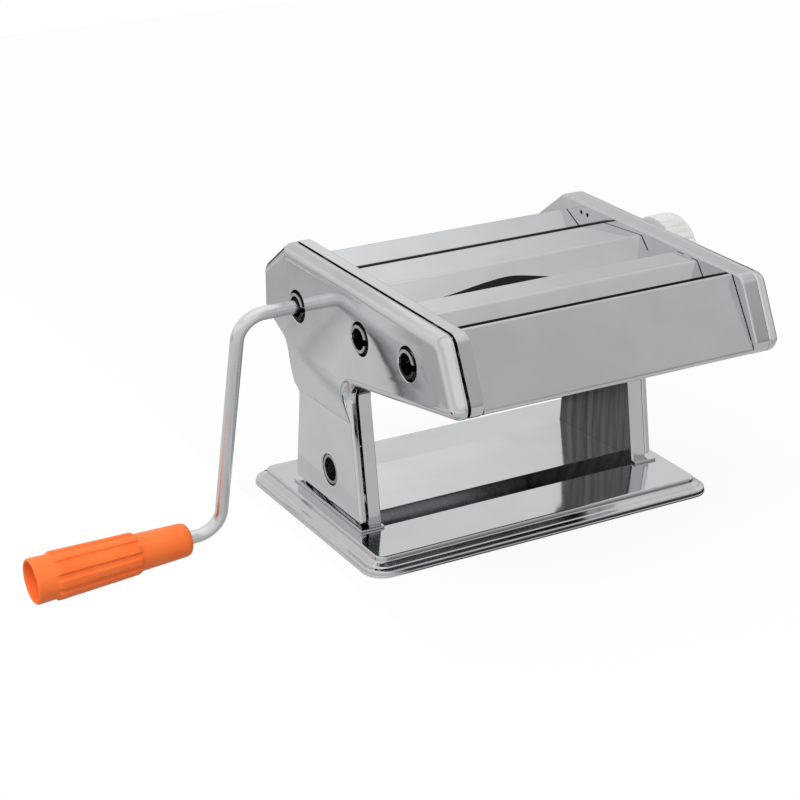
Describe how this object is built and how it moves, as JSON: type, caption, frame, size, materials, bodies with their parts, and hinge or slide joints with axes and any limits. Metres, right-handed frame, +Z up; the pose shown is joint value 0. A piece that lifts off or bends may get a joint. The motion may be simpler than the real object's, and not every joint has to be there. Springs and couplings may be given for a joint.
{
  "type": "pasta machine",
  "caption": "Manual pasta machine with smooth dough rollers, wide and narrow cutters, a gap regulator knob and a plug-in crank.",
  "frame": {"origin": "centre of the base's underside, on the table", "axes": "+X along the rollers to the knob, +Y to the back, +Z up"},
  "size_m": [0.3655, 0.214, 0.1894],
  "materials": {
    "polished_steel": "polished",
    "satin_steel": "satin",
    "zinc_steel": "zinc plated",
    "gear_steel": "cut",
    "black_rubber": "matt",
    "clear_nylon": "translucent",
    "bronze": "sintered",
    "orange_plastic": "satin"
  },
  "bodies": {
    "machine": {"base_plate": "polished_steel", "bottom_plate": "satin_steel", "rubber_mat": "black_rubber", "left_frame": "polished_steel", "right_frame": "polished_steel", "left_cover": "polished_steel", "right_cover": "polished_steel", "cover_posts": "zinc_steel", "cover_screws": "zinc_steel", "tie_rods": "zinc_steel", "tie_rod_nuts": "zinc_steel", "foot_bolts": "zinc_steel", "foot_nuts": "zinc_steel", "rear_panel": "polished_steel", "centre_panel": "polished_steel", "cutter_panel": "polished_steel", "front_panel": "polished_steel", "roller_bushings": "bronze", "cutter_bushings": "bronze", "regulator_bushings": "bronze", "wide_combs": "satin_steel", "narrow_combs": "satin_steel", "roller_scrapers": "satin_steel", "clamp_socket": "satin_steel"},
    "drive": {"drive_roller": "polished_steel", "drive_gear": "gear_steel", "drive_socket": "satin_steel"},
    "crank": {"crank_rod": "zinc_steel", "crank_pin": "zinc_steel", "grip_washer": "zinc_steel"},
    "grip": {"crank_grip": "orange_plastic"},
    "carriage": {"left_bearing_block": "bronze", "right_bearing_block": "bronze"},
    "moving": {"moving_roller": "polished_steel", "moving_gear": "gear_steel"},
    "regulator": {"regulator_shaft": "zinc_steel", "left_cam": "satin_steel", "right_cam": "satin_steel", "knob": "clear_nylon", "knob_screw": "zinc_steel", "knob_washer": "zinc_steel"},
    "wide": {"wide_cutter": "polished_steel", "wide_cutter_gear": "gear_steel", "wide_cutter_socket": "satin_steel"},
    "wide_partner": {"wide_mate": "polished_steel", "wide_mate_gear": "gear_steel"},
    "narrow": {"narrow_cutter": "polished_steel", "narrow_cutter_gear": "gear_steel", "narrow_cutter_socket": "satin_steel"},
    "narrow_partner": {"narrow_mate": "polished_steel", "narrow_mate_gear": "gear_steel"}
  },
  "joints": [
    {"name": "drive_turn", "type": "hinge", "parent": "machine", "child": "drive", "pos_m": [0, 0.0293, 0.1179], "axis": [1, 0, 0], "continuous": true},
    {"name": "crank_pull", "type": "slide", "parent": "drive", "child": "crank", "axis": [-1, 0, 0], "range_m": [0, 0.024]},
    {"name": "grip_spin", "type": "hinge", "parent": "crank", "child": "grip", "pos_m": [-0.15308, 0.0636, -0.0228], "axis": [-0.9991, 0.0099, -0.0407], "continuous": true},
    {"name": "knob_turn", "type": "hinge", "parent": "machine", "child": "regulator", "pos_m": [0, -0.01783, 0.12734], "axis": [1, 0, 0], "range_deg": [0, 144]},
    {"name": "gap_slide", "type": "slide", "parent": "machine", "child": "carriage", "axis": [0, 0.9978, -0.0663], "range_m": [0, 0.0021]},
    {"name": "moving_turn", "type": "hinge", "parent": "carriage", "child": "moving", "pos_m": [0, -0.00103, 0.11991], "axis": [1, 0, 0], "continuous": true},
    {"name": "wide_turn", "type": "hinge", "parent": "machine", "child": "wide", "pos_m": [0, -0.04065, 0.12255], "axis": [1, 0, 0], "continuous": true},
    {"name": "wide_partner_turn", "type": "hinge", "parent": "machine", "child": "wide_partner", "pos_m": [0, -0.0598, 0.12382], "axis": [1, 0, 0], "continuous": true},
    {"name": "narrow_turn", "type": "hinge", "parent": "machine", "child": "narrow", "pos_m": [0, -0.08964, 0.1258], "axis": [1, 0, 0], "continuous": true},
    {"name": "narrow_partner_turn", "type": "hinge", "parent": "machine", "child": "narrow_partner", "pos_m": [0, -0.1088, 0.12707], "axis": [1, 0, 0], "continuous": true}
  ],
  "couplings": [
    {"joint": "knob_turn", "follows": "gap_slide", "rad_per_m": 1196.8},
    {"joint": "moving_turn", "follows": "drive_turn", "ratio": -1},
    {"joint": "wide_partner_turn", "follows": "wide_turn", "ratio": -1},
    {"joint": "narrow_partner_turn", "follows": "narrow_turn", "ratio": -1}
  ]
}
